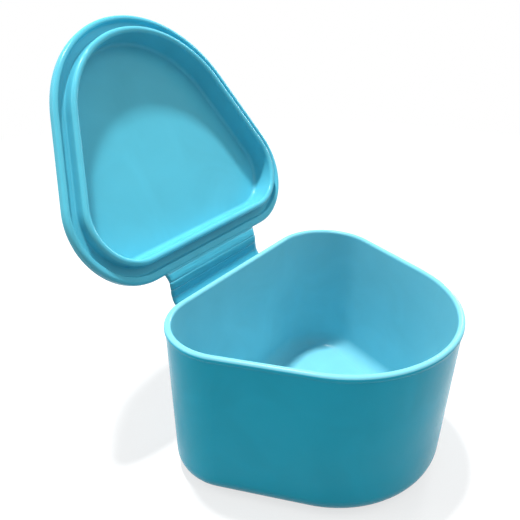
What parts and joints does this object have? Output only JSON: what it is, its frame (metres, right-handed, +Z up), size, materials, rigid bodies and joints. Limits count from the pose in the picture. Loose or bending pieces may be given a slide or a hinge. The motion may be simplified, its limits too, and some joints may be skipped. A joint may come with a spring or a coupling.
{
  "type": "denture case",
  "caption": "Rounded triangular plastic tub with a domed lid that plugs into its rim, joined by a wide creased strap hinge; stores and soaks a denture.",
  "frame": {"origin": "middle of the tub's flat base, where the outline's middles across X and Y meet", "axes": "+Z up; the strap and the lid stand on the +Y side, the tub's nose points to -Y, +X runs along the strap's creases"},
  "size_m": [0.0932, 0.1206, 0.1204],
  "materials": {
    "tub": "moulded polypropylene, satin gloss",
    "lid": "moulded polypropylene, satin gloss",
    "strap": "moulded polypropylene, satin gloss"
  },
  "bodies": {
    "tub": {"tub": "tub", "strap_root": "strap", "strap_slat_1": "strap", "strap_slat_2": "strap", "strap_slat_3": "strap"},
    "lid": {"strap_slat_4": "strap", "strap_tail": "strap", "lid": "lid"}
  },
  "joints": [
    {"name": "strap_hinge", "type": "hinge", "parent": "tub", "child": "lid", "pos_m": [0, 0.04332, 0.04857], "axis": [1, 0, 0], "range_deg": [-61.5, 118.5]}
  ]
}
